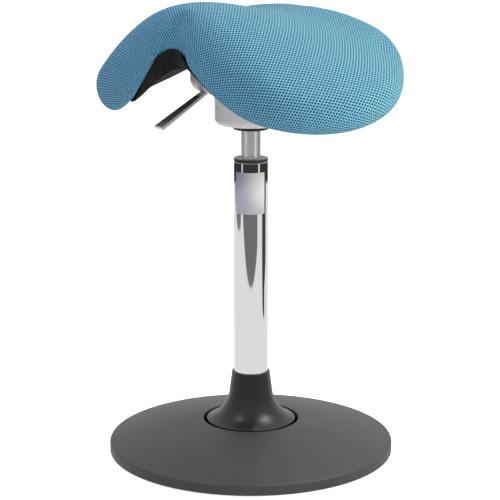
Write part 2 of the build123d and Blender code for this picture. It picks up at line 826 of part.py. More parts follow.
# Bracket: a hollow two-tier casting with a tapered boss, ribs, screw bosses and the lever's slot
cup_floor = cup_z + cup_wall
tier_floor = tier_z + tier_wall
lug_side = lever_root_w / 2 + lever_side
lever_plane = upright(lever_angle)
with BuildPart() as bracket:
    revolve(
        turned(
            (0, cup_z),
            (cup_r, cup_z),
            (cup_r, tier_z),
            (tier_r, tier_z),
            (tier_r, bracket_top),
            (0, bracket_top),
        ),
        axis=Axis.Z,
    )
    fillet(circles(bracket.part, cup_r)[0], cup_round)
    fillet(circles(bracket.part, tier_r)[0], tier_round)
    revolve(
        turned(
            (boss_r, cup_floor),
            (boss_r, cylinder_top - boss_chamfer),
            (boss_r - boss_chamfer, cylinder_top),
            (0, cylinder_top),
            (0, bracket_top),
            (tier_r - tier_wall, bracket_top),
            (tier_r - tier_wall, tier_floor + tier_round - tier_wall),
            (tier_r - tier_round, tier_floor),
            (cup_r - cup_wall, tier_floor),
            (cup_r - cup_wall, cup_floor + cup_round - cup_wall),
            (cup_r - cup_round, cup_floor),
        ),
        axis=Axis.Z,
        mode=Mode.SUBTRACT,
    )
    with BuildSketch(*[upright(lever_angle + 360 / cup_rib_count * (k + 0.5)) for k in range(cup_rib_count)]):
        with Locations((boss_r - 1, cup_floor - 1)):
            Rectangle(
                cup_r - cup_wall - boss_r + 2,
                cup_rib_top - cup_floor + 1,
                align=(Align.MIN, Align.MIN),
            )
    extrude(amount=bracket_rib_t / 2, both=True)
    with BuildSketch(*[upright(lever_angle + 360 / tier_rib_count * (k + 0.5)) for k in range(tier_rib_count)]):
        with BuildLine():
            Polyline(
                (cup_r - 2, tier_floor - 1),
                (tier_r - tier_round, tier_floor - 1),
                (tier_r - 2, tier_floor + tier_round - tier_wall),
                (tier_r - 2, tier_rib_top),
                (cup_r - 2, tier_rib_top),
                close=True,
            )
        make_face()
    extrude(amount=bracket_rib_t / 2, both=True)
    with BuildSketch(Plane.XY.offset(tier_z + 1)):
        with PolarLocations(seat_screw_pcd_r, seat_screw_count, start_angle=45):
            Circle(seat_screw_boss_r)
    extrude(amount=bracket_top - tier_z - 1)
    with BuildSketch(lever_plane.offset(lug_side), lever_plane.offset(-lug_side - lever_lug_t)):
        with Locations((lever_pivot_r, lever_z)):
            Circle(lever_lug_r)
        with Locations((lever_pivot_r, cup_floor - 1)):
            Rectangle(2 * lever_lug_r, lever_z - cup_floor + 1, align=(Align.CENTER, Align.MIN))
    extrude(amount=lever_lug_t)
    revolve(
        turned(
            (0, cup_z),
            (taper_r(cup_z), cup_z),
            (taper_r(cylinder_top), cylinder_top),
            (0, cylinder_top),
        ),
        axis=Axis.Z,
        mode=Mode.SUBTRACT,
    )
    with BuildSketch(Plane.XY.offset(tier_z)):
        with PolarLocations(seat_screw_pcd_r, seat_screw_count, start_angle=45):
            Circle(seat_screw_hole_r)
    extrude(amount=bracket_top - tier_z, mode=Mode.SUBTRACT)
    with BuildSketch(Plane.XY.offset(tier_z)):
        with PolarLocations(seat_screw_pcd_r, seat_screw_count, start_angle=45):
            Circle(seat_screw_head_r + 0.5)
    extrude(amount=seat_screw_sink, mode=Mode.SUBTRACT)
    with BuildSketch(lever_plane.offset(-lug_side)):
        with Locations((slot_inner_r, tier_z - 1)):
            Rectangle(tier_r - slot_inner_r + 1, slot_h + 1, align=(Align.MIN, Align.MIN))
    extrude(amount=2 * lug_side, mode=Mode.SUBTRACT)
    with BuildSketch(lever_plane.offset(-lug_side - lever_lug_t)):
        with Locations((lever_pivot_r, lever_z)):
            Circle(lever_pin_r)
    extrude(amount=2 * (lug_side + lever_lug_t), mode=Mode.SUBTRACT)
bracket.part.label = "bracket"
export_step(bracket.part, "parts/bracket.step")

# Bracket collar: ring that closes the housing round the cylinder
with BuildPart() as bracket_collar:
    revolve(sleeve(collar_r, cylinder_r, collar_z, cup_z), axis=Axis.Z)
    fillet(circles(bracket_collar.part, collar_r)[0], 2)
bracket_collar.part.label = "bracket_collar"
export_step(bracket_collar.part, "parts/bracket_collar.step")

# Lever: flat bar over the valve pin, bent down at its pivot and widening to the hand
lever_tip_z = lever_z - (lever_tip_r - lever_pivot_r) * math.tan(math.radians(lever_droop))
with BuildPart() as lever:
    with BuildLine(lever_plane) as lever_run:
        FilletPolyline(
            (-lever_inner_r, lever_z),
            (lever_pivot_r, lever_z),
            (lever_tip_r, lever_tip_z),
            radius=lever_bend_r,
        )
    run = lever_run.line
    with BuildSketch(Plane(origin=run @ 0, x_dir=lever_plane.z_dir, z_dir=run % 0)):
        Rectangle(lever_w, lever_t)
    sweep(path=run)
    blade = Plane(origin=run @ 1, x_dir=run % 1, z_dir=(run % 1).cross(lever_plane.z_dir))
    with BuildSketch(blade) as outline:
        with BuildLine():
            Polyline(
                (0, lever_w / 2),
                (-lever_taper, lever_root_w / 2),
                (-2 * lever_tip_r, lever_root_w / 2),
                (-2 * lever_tip_r, -lever_root_w / 2),
                (-lever_taper, -lever_root_w / 2),
                (0, -lever_w / 2),
                close=True,
            )
        make_face()
        fillet(outline.vertices().group_by(blade.location.x_axis)[-1], lever_corner)
    extrude(amount=lever_tip_r, both=True, mode=Mode.INTERSECT)
    fillet(lever.edges().filter_by(lambda e: abs((e % 0.5).dot(blade.z_dir)) < 0.5), lever_edge)
    with BuildSketch(lever_plane.offset(-lever_root_w / 2)):
        with Locations((lever_pivot_r, lever_z)):
            Circle(lever_boss_r)
    extrude(amount=lever_root_w)
    with BuildSketch(lever_plane.offset(-lever_root_w / 2)):
        with Locations((lever_pivot_r, lever_z)):
            Circle(lever_pin_r + running)
    extrude(amount=lever_root_w, mode=Mode.SUBTRACT)
lever.part.label = "lever"
export_step(lever.part, "parts/lever.step")

# Lever pin: fixed in the bracket's lugs
with BuildPart() as lever_pin:
    with BuildSketch(lever_plane.offset(-lug_side - lever_lug_t)):
        with Locations((lever_pivot_r, lever_z)):
            Circle(lever_pin_r)
    extrude(amount=2 * (lug_side + lever_lug_t))
lever_pin.part.label = "lever_pin"
export_step(lever_pin.part, "parts/lever_pin.step")

# Seat shell: a curved panel with a ring below it that sits on the bracket
shell_blank = under_layer(nose_front, shell_rear, shell_inset, cover_t, cover_t + shell_t)
above_root = under_layer(nose_front, shell_rear, shell_inset, cover_t + mount_root, pad_front * 2)
with BuildPart() as mount_ring:
    revolve(sleeve(mount_ring_r, mount_ring_bore_r, bracket_top, tee_z + 4 * shell_t), axis=Axis.Z)
    add(above_root, mode=Mode.SUBTRACT)
with BuildPart() as seat_shell:
    add(shell_blank)
    add(mount_ring.part)
    with BuildSketch(Plane.XY.offset(bracket_top)):
        with PolarLocations(seat_screw_pcd_r, seat_screw_count, start_angle=45):
            Circle(tee_barrel_r)
    extrude(amount=tee_z - bracket_top, mode=Mode.SUBTRACT)
    with BuildSketch(Plane.XY.offset(tee_z)):
        with PolarLocations(seat_screw_pcd_r, seat_screw_count, start_angle=45):
            Circle(tee_flange_r)
    extrude(amount=4 * shell_t, mode=Mode.SUBTRACT)
seat_shell.part.label = "seat_shell"
export_step(seat_shell.part, "parts/seat_shell.step")

# Seat foam: the pad between the cover and the shell, open below the shell
core = pad(cover_t)
shell_room = under_layer(
    nose_front - bond_gap,
    shell_rear - bond_gap,
    shell_inset - bond_gap,
    -cover_t,
    cover_t + shell_t + bond_gap,
)
with BuildPart() as seat_foam:
    add(core)
    add(shell_room, mode=Mode.SUBTRACT)
seat_foam.part.label = "seat_foam"
export_step(seat_foam.part, "parts/seat_foam.step")

# Seat cover: fabric all round the pad, open underneath
with BuildPart() as seat_cover:
    add(pad(0))
    add(core, mode=Mode.SUBTRACT)
    add(under_layer(dust_front, dust_rear, dust_wing, -cover_t, 2 * cover_t), mode=Mode.SUBTRACT)
seat_cover.part.label = "seat_cover"
export_step(seat_cover.part, "parts/seat_cover.step")

# Dust cover: cloth that closes the underside round the bracket
with BuildPart() as dust_cover:
    add(
        under_layer(
            dust_front + dust_gap,
            dust_rear + dust_gap,
            dust_wing + dust_gap,
            cover_t - dust_gap - dust_t,
            cover_t - dust_gap,
        )
    )
    with BuildSketch(Plane.XY.offset(bracket_top)):
        Circle(mount_ring_r + 1)
    extrude(amount=tee_z + 4 * shell_t - bracket_top, mode=Mode.SUBTRACT)
dust_cover.part.label = "dust_cover"
export_step(dust_cover.part, "parts/dust_cover.step")

# Tee nuts: barrels in the mount ring, flanges on its shoulder
with BuildPart() as tee_nuts:
    with BuildSketch(Plane.XY.offset(tee_z - tee_len)):
        with PolarLocations(seat_screw_pcd_r, seat_screw_count, start_angle=45):
            Circle(tee_barrel_r)
    extrude(amount=tee_len)
    with BuildSketch(Plane.XY.offset(tee_z)):
        with PolarLocations(seat_screw_pcd_r, seat_screw_count, start_angle=45):
            Circle(tee_flange_r)
    extrude(amount=tee_flange_t)
    with BuildSketch(Plane.XY.offset(tee_z - tee_len)):
        with PolarLocations(seat_screw_pcd_r, seat_screw_count, start_angle=45):
            Circle(seat_screw_r)
    extrude(amount=tee_len + tee_flange_t, mode=Mode.SUBTRACT)
tee_nuts.part.label = "tee_nuts"
export_step(tee_nuts.part, "parts/tee_nuts.step")

# Seat screws: heads sunk in the bracket, shanks up into the tee nuts
head_top = tier_z + seat_screw_sink
with BuildPart() as seat_screws:
    with BuildSketch(Plane.XY.offset(head_top - seat_screw_head_t)):
        with PolarLocations(seat_screw_pcd_r, seat_screw_count, start_angle=45):
            Circle(seat_screw_head_r)
    extrude(amount=seat_screw_head_t)
    with BuildSketch(Plane.XY.offset(head_top)):
        with PolarLocations(seat_screw_pcd_r, seat_screw_count, start_angle=45):
            Circle(seat_screw_r)
    extrude(amount=tee_z + tee_flange_t - head_top)
    with BuildSketch(Plane.XY.offset(head_top - seat_screw_head_t)):
        with PolarLocations(seat_screw_pcd_r, seat_screw_count, start_angle=45):
            RegularPolygon(seat_screw_r, 6)
    extrude(amount=seat_screw_head_t / 2, mode=Mode.SUBTRACT)
seat_screws.part.label = "seat_screws"
export_step(seat_screws.part, "parts/seat_screws.step")
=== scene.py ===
"""Dresses a saddle stool that sways on its foot and rises on a gas lift.

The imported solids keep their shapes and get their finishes. The upholstery, the dust cover under it
and the blank label on the column are modelled here, the two soft pieces with cloth simulation.
"""

import logging
import math
from dataclasses import dataclass, field
from enum import Enum
from typing import Any

import bmesh
import bpy
from bpy.types import Material, Node, NodeSocket, NodeTree, Object
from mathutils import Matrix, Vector


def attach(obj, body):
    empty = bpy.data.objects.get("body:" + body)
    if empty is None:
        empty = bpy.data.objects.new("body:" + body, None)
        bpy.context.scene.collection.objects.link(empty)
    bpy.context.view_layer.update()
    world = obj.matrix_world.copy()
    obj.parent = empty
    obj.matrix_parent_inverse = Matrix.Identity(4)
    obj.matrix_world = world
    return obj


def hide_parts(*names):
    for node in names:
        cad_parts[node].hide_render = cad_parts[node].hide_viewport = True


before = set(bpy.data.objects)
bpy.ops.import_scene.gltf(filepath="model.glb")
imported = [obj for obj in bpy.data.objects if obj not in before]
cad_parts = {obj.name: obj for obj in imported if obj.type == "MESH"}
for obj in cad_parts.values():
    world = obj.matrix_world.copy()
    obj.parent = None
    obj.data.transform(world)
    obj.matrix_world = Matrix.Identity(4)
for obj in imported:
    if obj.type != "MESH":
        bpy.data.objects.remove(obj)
log = logging.getLogger("saddle_stool")

MM = 0.001
# Room for rounding, in metres
ROUNDING = 1e-6
# Least length that anything is divided by
TINY = 1e-9
# Length after which Blender's wave texture repeats at a scale of 1
WAVE_PERIOD = 0.314

Point = tuple[float, float, float]
Pair = tuple[float, float]
Colour = tuple[float, float, float, float]


def linear(hex_colour: str) -> Colour:
    """Turns an sRGB hex value into linear light.

    Args:
        hex_colour: Six hex digits after a hash sign.

    Returns:
        Linear red, green and blue, and 1 for alpha.
    """
    parts = [int(hex_colour[k : k + 2], 16) / 255 for k in (1, 3, 5)]
    red, green, blue = [c / 12.92 if c <= 0.04045 else ((c + 0.055) / 1.055) ** 2.4 for c in parts]
    return red, green, blue, 1.0


def add_node(
    tree: NodeTree, kind: str, inputs: dict[Any, Any] | None = None, **settings: Any
) -> Node:
    """Adds a node with its settings, and fills or links its sockets.

    Args:
        tree: Node tree that gets the node.
        kind: Blender's name for the node's type.
        inputs: Socket name or number, and the value or the output socket that it takes.
        **settings: The node's own properties.

    Returns:
        The new node.
    """
    made = tree.nodes.new(kind)
    for name, value in settings.items():
        setattr(made, name, value)
    for socket, value in (inputs or {}).items():
        if isinstance(value, NodeSocket):
            tree.links.new(value, made.inputs[socket])
        else:
            made.inputs[socket].default_value = value
    return made


class Slot(Enum):
    """Names of the record's material slots for the new pieces."""

    SEAT_MESH = "seat_mesh"
    DUST_CLOTH = "dust_cloth"


class Body(Enum):
    """The moving bodies that the new pieces ride on."""

    SEAT = "seat"
    COLUMN = "column"


# Finishes


@dataclass(frozen=True)
class Finish:
    """A surface: its name, its colour and how it takes the light.

    Attributes:
        name: Material's name.
        colour: Main colour, sRGB hex.
        roughness: Shader roughness.
        metallic: 1 for bare metal.
        ior: Index of refraction.
        specular: Strength of the surface's own gloss, 0.5 where it is clean.
    """

    name: str
    colour: str
    roughness: float
    metallic: float = 0.0
    ior: float = 1.5
    specular: float = 0.5

    def material(self) -> Material:
        """Makes the material, with whatever pattern the finish adds."""
        made = bpy.data.materials.new(self.name)
        made.use_nodes = True
        tree = made.node_tree
        tree.nodes.clear()
        constants = {"Base Color": linear(self.colour), "Roughness": self.roughness}
        constants |= {"Metallic": self.metallic, "IOR": self.ior, "Specular IOR Level": self.specular}
        shader = add_node(tree, "ShaderNodeBsdfPrincipled", constants)
        add_node(tree, "ShaderNodeOutputMaterial", {"Surface": shader.outputs["BSDF"]})
        made.diffuse_color = linear(self.colour)
        self.dress(tree, shader)
        return made

    def dress(self, tree: NodeTree, shader: Node) -> None:
        """Adds the finish's pattern to its shader.

        Args:
            tree: The material's nodes.
            shader: Its principled shader.
        """
        raise NotImplementedError


@dataclass(frozen=True)
class Grained(Finish):
    """A moulded, cast or rubbed surface with a fine grain and slight unevenness.

    Attributes:
        grain_mm: Width of one grain.
        grain_depth_mm: Depth of the grain.
        mottle: Second colour, that the first drifts to.
        mottle_mm: Width of the drift.
        uneven: How far the roughness drifts.
        coat: Strength of a clear top layer.
    """

    grain_mm: float = 0.8
    grain_depth_mm: float = 0.02
    mottle: str = "#808080"
    mottle_mm: float = 60.0
    uneven: float = 0.06
    coat: float = 0.0

    def dress(self, tree: NodeTree, shader: Node) -> None:
        """Mottles the colour, drifts the roughness and raises the grain."""
        place = add_node(tree, "ShaderNodeTexCoord").outputs["Object"]
        drift = add_node(
            tree,
            "ShaderNodeTexNoise",
            {"Vector": place, "Scale": 1 / (self.mottle_mm * MM), "Detail": 3.0},
        ).outputs["Fac"]
        tone = add_node(
            tree,
            "ShaderNodeMix",
            {0: drift, 6: linear(self.colour), 7: linear(self.mottle)},
            data_type="RGBA",
        ).outputs[2]
        sheen = add_node(
            tree,
            "ShaderNodeMapRange",
            {0: drift, 3: self.roughness - self.uneven, 4: self.roughness + self.uneven},
        ).outputs[0]
        grain = add_node(
            tree,
            "ShaderNodeTexNoise",
            {"Vector": place, "Scale": 1 / (self.grain_mm * MM), "Detail": 2.0},
        ).outputs["Fac"]
        relief = add_node(
            tree,
            "ShaderNodeBump",
            {"Height": grain, "Distance": self.grain_depth_mm * MM, "Strength": 1.0},
        )
        tree.links.new(tone, shader.inputs["Base Color"])
        tree.links.new(sheen, shader.inputs["Roughness"])
        tree.links.new(relief.outputs["Normal"], shader.inputs["Normal"])
        shader.inputs["Coat Weight"].default_value = self.coat
        shader.inputs["Coat Roughness"].default_value = 0.25


@dataclass(frozen=True)
class DrawnMetal(Finish):
    """Metal drawn, ground or turned, with fine marks that run one way.

    Attributes:
        mark_mm: Width of the marks.
        stretch: Scale of the pattern along X, Y and Z, smaller along the marks.
        depth_mm: Depth of the marks.
        uneven: How far the roughness drifts between the marks.
    """

    mark_mm: float = 0.5
    stretch: Point = (1.0, 1.0, 0.02)
    depth_mm: float = 0.002
    uneven: float = 0.03

    def dress(self, tree: NodeTree, shader: Node) -> None:
        """Draws the marks into roughness and relief."""
        place = add_node(tree, "ShaderNodeTexCoord").outputs["Object"]
        along = add_node(tree, "ShaderNodeMapping", {"Vector": place, "Scale": self.stretch})
        marks = add_node(
            tree,
            "ShaderNodeTexNoise",
            {"Vector": along.outputs[0], "Scale": 1 / (self.mark_mm * MM), "Detail": 2.0},
        ).outputs["Fac"]
        rough = add_node(
            tree,
            "ShaderNodeMapRange",
            {0: marks, 3: max(0.01, self.roughness - self.uneven), 4: self.roughness + self.uneven},
        ).outputs[0]
        relief = add_node(
            tree, "ShaderNodeBump", {"Height": marks, "Distance": self.depth_mm * MM, "Strength": 1.0}
        )
        tree.links.new(rough, shader.inputs["Roughness"])
        tree.links.new(relief.outputs["Normal"], shader.inputs["Normal"])


@dataclass(frozen=True)
class SpacerKnit(Finish):
    """Spacer knit of polyester in its dye colour: a springy face with rows of small staggered holes, which
    are painted darker as shade.

    Attributes:
        hole: Colour deep in the holes: the lower layer's navy, darkened further as painted shade.
        across_mm: Spacing of the holes along a row.
        along_mm: Distance between a row and the next but one.
        hole_mm: Diameter of a hole.
        edge: Where a hole's edge starts and ends, as shares of its radius.
        depth_mm: Depth of the holes in the face.
        yarn_mm: Width of the yarn.
        yarn_tone: Darkest and lightest share of the colour along the yarn.
        yarn_height: Height of the yarn's fibre, as a share of the holes' depth.
        uv_map: Map that lays the cloth flat, in metres.
    """

    hole: str = "#083760"
    across_mm: float = 4.9
    along_mm: float = 6.4
    hole_mm: float = 2.9
    edge: Pair = (0.45, 1.45)
    depth_mm: float = 0.9
    yarn_mm: float = 0.55
    yarn_tone: Pair = (0.86, 1.14)
    yarn_height: float = 0.12
    uv_map: str = "flat_cut"

    def dress(self, tree: NodeTree, shader: Node) -> None:
        """Sinks two staggered sets of holes, colours them navy darkened as painted shade, and gives the
        yarn its fibre and sheen.
        """
        flat = add_node(tree, "ShaderNodeUVMap", uv_map=self.uv_map).outputs[0]
        cell = (self.across_mm * MM, self.along_mm * MM)
        rows = add_node(
            tree, "ShaderNodeVectorMath", {0: flat, 1: (*cell, 1.0)}, operation="DIVIDE"
        ).outputs[0]
        distances = []
        for shift in (0.0, 0.5):
            spot = rows
            for operation, other in (
                ("ADD", (shift, shift, 0.0)),
                ("FRACTION", (0.0, 0.0, 0.0)),
                ("SUBTRACT", (0.5, 0.5, 0.0)),
                ("MULTIPLY", (*cell, 0.0)),
            ):
                step = add_node(tree, "ShaderNodeVectorMath", {0: spot, 1: other}, operation=operation)
                spot = step.outputs[0]
            away = add_node(tree, "ShaderNodeVectorMath", {0: spot}, operation="LENGTH")
            distances.append(away.outputs["Value"])
        nearest = add_node(
            tree, "ShaderNodeMath", {0: distances[0], 1: distances[1]}, operation="MINIMUM"
        ).outputs[0]
        radius = self.hole_mm * MM / 2
        face = add_node(
            tree,
            "ShaderNodeMapRange",
            {0: nearest, 1: self.edge[0] * radius, 2: self.edge[1] * radius},
            interpolation_type="SMOOTHSTEP",
        ).outputs[0]
        place = add_node(tree, "ShaderNodeTexCoord").outputs["Object"]
        fibre = add_node(
            tree,
            "ShaderNodeTexNoise",
            {"Vector": place, "Scale": 1 / (self.yarn_mm * MM), "Detail": 3.0},
        ).outputs["Fac"]
        lighter = add_node(
            tree, "ShaderNodeMapRange", {0: fibre, 3: self.yarn_tone[0], 4: self.yarn_tone[1]}
        ).outputs[0]
        # Yarn colour on the face; in the holes, the lower layer's navy darkened as painted shade
        knit_and_hole_shade = add_node(
            tree,
            "ShaderNodeMix",
            {0: face, 6: linear(self.hole), 7: linear(self.colour)},
            data_type="RGBA",
        ).outputs[2]
        yarn = add_node(
            tree, "ShaderNodeVectorMath", {0: knit_and_hole_shade, 3: lighter}, operation="SCALE"
        ).outputs[0]
        height = add_node(
            tree, "ShaderNodeMath", {0: fibre, 1: self.yarn_height, 2: face}, operation="MULTIPLY_ADD"
        ).outputs[0]
        relief = add_node(
            tree,
            "ShaderNodeBump",
            {"Height": height, "Distance": self.depth_mm * MM, "Strength": 0.8},
        )
        tree.links.new(yarn, shader.inputs["Base Color"])
        tree.links.new(relief.outputs["Normal"], shader.inputs["Normal"])
        shader.inputs["Sheen Weight"].default_value = 0.12
        shader.inputs["Sheen Roughness"].default_value = 0.5
        shader.inputs["Sheen Tint"].default_value = linear("#d5f2f5")


@dataclass(frozen=True)
class PlainWeave(Finish):
    """Thin plain-woven cloth, warp over weft, with a painted sheen on the thread tops.

    Attributes:
        thread_mm: Spacing of the threads, drawn coarse enough to show.
        depth_mm: Height of a thread.
        thread_top_sheen: Lighter colour painted on the thread tops as their sheen.
        uv_map: Map that lays the cloth flat, in metres.
    """

    thread_mm: float = 1.6
    depth_mm: float = 0.12
    thread_top_sheen: str = "#1e1d1c"
    uv_map: str = "flat_cut"

    def dress(self, tree: NodeTree, shader: Node) -> None:
        """Crosses two sets of threads, and paints their tops a little lighter as a painted sheen."""
        flat = add_node(tree, "ShaderNodeUVMap", uv_map=self.uv_map).outputs[0]
        scale = WAVE_PERIOD / (self.thread_mm * MM)
        threads = [
            add_node(
                tree,
                "ShaderNodeTexWave",
                {"Vector": flat, "Scale": scale, "Distortion": 0.6, "Detail": 1.0},
                bands_direction=way,
            ).outputs["Fac"]
            for way in ("X", "Y")
        ]
        weave = add_node(
            tree, "ShaderNodeMath", {0: threads[0], 1: threads[1]}, operation="MULTIPLY"
        ).outputs[0]
        # Painted sheen: a lighter colour on the thread tops
        painted_sheen_tone = add_node(
            tree,
            "ShaderNodeMix",
            {0: weave, 6: linear(self.colour), 7: linear(self.thread_top_sheen)},
            data_type="RGBA",
        ).outputs[2]
        relief = add_node(
            tree, "ShaderNodeBump", {"Height": weave, "Distance": self.depth_mm * MM, "Strength": 1.0}
        )
        tree.links.new(painted_sheen_tone, shader.inputs["Base Color"])
        tree.links.new(relief.outputs["Normal"], shader.inputs["Normal"])


# Spark-eroded ABS: dull black, with an even grain that greys it at a low angle, drawn coarser and
# deeper than the real one so that it shows
FOOT_ABS = Grained(
    "moulded_abs_black", "#2f2f31", 0.52, grain_mm=3.2, grain_depth_mm=0.45, mottle="#39393b"
)
# Polypropylene: smoother and a little glossier than the foot, so that lamps show as soft spots
BELL_PP = Grained(
    "moulded_polypropylene_black",
    "#121213",
    0.34,
    ior=1.49,
    specular=0.36,
    grain_mm=1.4,
    grain_depth_mm=0.006,
    mottle="#171718",
)
# Decorative chrome over drawn steel tube: a near mirror with very faint draw lines
TUBE_CHROME = DrawnMetal(
    "chrome_plated_steel", "#d9dadb", 0.045, 1.0, mark_mm=2.5, uneven=0.015, depth_mm=0.0003
)
# Ground steel under a thin plating: soft streaks along the axis
LIFT_STEEL = DrawnMetal(
    "ground_plated_steel", "#e8e8e7", 0.3, 1.0, mark_mm=1.6, depth_mm=0.001, uneven=0.03
)
# Polished and plated flat bar: satin, with marks across the blade
LEVER_STEEL = DrawnMetal(
    "polished_plated_bar", "#d2d2d1", 0.42, 1.0, mark_mm=0.8, stretch=(0.05, 1.0, 0.05), uneven=0.04
)
# Silver-grey powder coat over the casting: satin, with a faint orange peel
BRACKET_COAT = Grained(
    "silver_grey_powder_coat",
    "#e8e6df",
    0.4,
    grain_mm=2.2,
    grain_depth_mm=0.012,
    mottle="#ecebe5",
    coat=0.15,
)
# Turned metal in dark grey, painted shade for the shadow gap under the housing: fine rings round the axis
COLLAR_METAL = DrawnMetal(
    "turned_dark_ring", "#3a3a3b", 0.3, 1.0, mark_mm=0.6, stretch=(0.1, 0.1, 1.0), uneven=0.06
)
# Acetal: a shade greyer than the bell, with a soft gloss
GUIDE_ACETAL = Grained(
    "moulded_acetal_black", "#272829", 0.34, ior=1.48, grain_mm=0.7, grain_depth_mm=0.006, mottle="#303132"
)
# Rubber: dull and nearly black
SOFT_RUBBER = Grained(
    "moulded_rubber_black", "#161617", 0.72, ior=1.52, grain_mm=0.5, grain_depth_mm=0.02, mottle="#1d1d1e"
)
# Painted steel: dark, with a slight orange peel
WEIGHT_PLATE = Grained(
    "painted_steel_plate", "#26272a", 0.48, grain_mm=1.6, grain_depth_mm=0.02, mottle="#2d2e31"
)
# Bright steel: clear but slightly blurred reflections
BRIGHT_STEEL = DrawnMetal("bright_steel", "#b9b9b8", 0.24, 1.0, mark_mm=0.5, uneven=0.05)
# Filled nylon: black with a fine, even grain
SHELL_NYLON = Grained(
    "moulded_nylon_black", "#1f1f20", 0.46, ior=1.53, grain_mm=1.1, grain_depth_mm=0.02, mottle="#272728"
)
# Foam: pale straw, open-celled and without gloss
SEAT_FOAM = Grained(
    "cold_cured_foam", "#d9cfa8", 0.95, grain_mm=1.5, grain_depth_mm=0.3, mottle="#cbbf92"
)
# Teal polyester: light on the yarn, navy in the holes, darkened there as painted shade
SEAT_KNIT = SpacerKnit("spacer_knit_teal", "#7bbdd5", 0.85, specular=0.25)
# Woven polypropylene: black, with a painted sheen that lightens the thread tops
DUST_WEAVE = PlainWeave("woven_polypropylene_black", "#131313", 0.8, ior=1.49, specular=0.25)
# Blank self-adhesive vinyl, a shade off white
LABEL_VINYL = Grained(
    "vinyl_label_blank",
    "#cbcad0",
    0.65,
    grain_mm=3.0,
    grain_depth_mm=0.004,
    mottle="#d2d1d6",
    mottle_mm=18.0,
)

NODE_FINISHES: dict[Finish, tuple[str, ...]] = {
    FOOT_ABS: ("base_cover",),
    BELL_PP: ("bell",),
    WEIGHT_PLATE: ("base_plate", "pivot_yoke", "gimbal_ring", "column_hub"),
    SOFT_RUBBER: ("floor_ring", "yoke_bushes", "ring_bushes", "stop_ring", "bumper", "piston_seal"),
    BRIGHT_STEEL: (
        "base_screws", "ring_pins", "hub_pins", "tube_floor", "lower_race", "upper_race", "bearing_balls",
        "rod_clip", "piston_rod", "lever_pin", "tee_nuts", "seat_screws", "valve_pin",
    ),
    TUBE_CHROME: ("outer_tube",),
    LIFT_STEEL: ("gas_cylinder",),
    GUIDE_ACETAL: ("guide_bush", "ball_cage"),
    BRACKET_COAT: ("bracket",),
    COLLAR_METAL: ("bracket_collar", "rod_guide", "piston", "valve_body"),
    LEVER_STEEL: ("lever",),
    SHELL_NYLON: ("seat_shell",),
    SEAT_FOAM: ("seat_foam",),
}


def dress_nodes() -> None:
    """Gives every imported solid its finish."""
    for finish, names in NODE_FINISHES.items():
        material = finish.material()
        for name in names:
            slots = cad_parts[name].data.materials
            slots.clear()
            slots.append(material)
        log.info("%s: %s", finish.name, ", ".join(names))


def link_mesh(name: str, made: bmesh.types.BMesh, material: Material) -> Object:
    """Turns a bmesh into a smooth-shaded object at the origin.

    Args:
        name: Name of the piece.
        made: The mesh in metres; it is freed.
        material: Its finish.

    Returns:
        The linked object.
    """
    mesh = bpy.data.meshes.new(name)
    for face in made.faces:
        face.smooth = True
    made.to_mesh(mesh)
    made.free()
    mesh.materials.append(material)
    piece = bpy.data.objects.new(name, mesh)
    bpy.context.scene.collection.objects.link(piece)
    return piece


# Soft pieces


def lay_flat(piece: Object, uv_map: str, side: float, level: float = 0.5) -> None:
    """Unwraps a piece along its seams with least stretch, in metres, with V from front to rear.

    Args:
        piece: Mesh object whose seams are marked.
        uv_map: Map that takes the flat cuts.
        side: 1 if the cut that sets size and direction is seen from above, -1 from below.
        level: Least share of a face's normal towards that side for it to count as seen.
    """
    mesh = piece.data
    mesh.uv_layers.active = mesh.uv_layers[uv_map]
    bpy.context.view_layer.objects.active = piece
    bpy.ops.object.mode_set(mode="EDIT")
    bpy.ops.mesh.select_all(action="SELECT")
    bpy.ops.uv.unwrap(method="MINIMUM_STRETCH", fill_holes=False, margin=0.0)
    bpy.ops.object.mode_set(mode="OBJECT")
    flat = [complex(*entry.vector) for entry in mesh.uv_layers[uv_map].uv]
    shown = [face for face in mesh.polygons if face.normal.z * side > level]
    corners = [k for face in shown for k in face.loop_indices]
    middle = sum(flat[k] for k in corners) / len(corners)
    drawn, turn = 0.0, 0j
    for face in shown:
        ring = [flat[k] for k in face.loop_indices]
        drawn += abs(sum((a.conjugate() * b).imag for a, b in zip(ring, ring[1:] + ring[:1]))) / 2
    for k in corners:
        spot = mesh.vertices[mesh.loops[k].vertex_index].co
        turn += complex(side * spot.x, spot.y) * (flat[k] - middle).conjugate()
    turn *= math.sqrt(sum(face.area for face in shown) / drawn) / abs(turn)
    for entry, spot in zip(mesh.uv_layers[uv_map].uv, flat):
        laid = (spot - middle) * turn
        entry.vector = (laid.real, laid.imag)


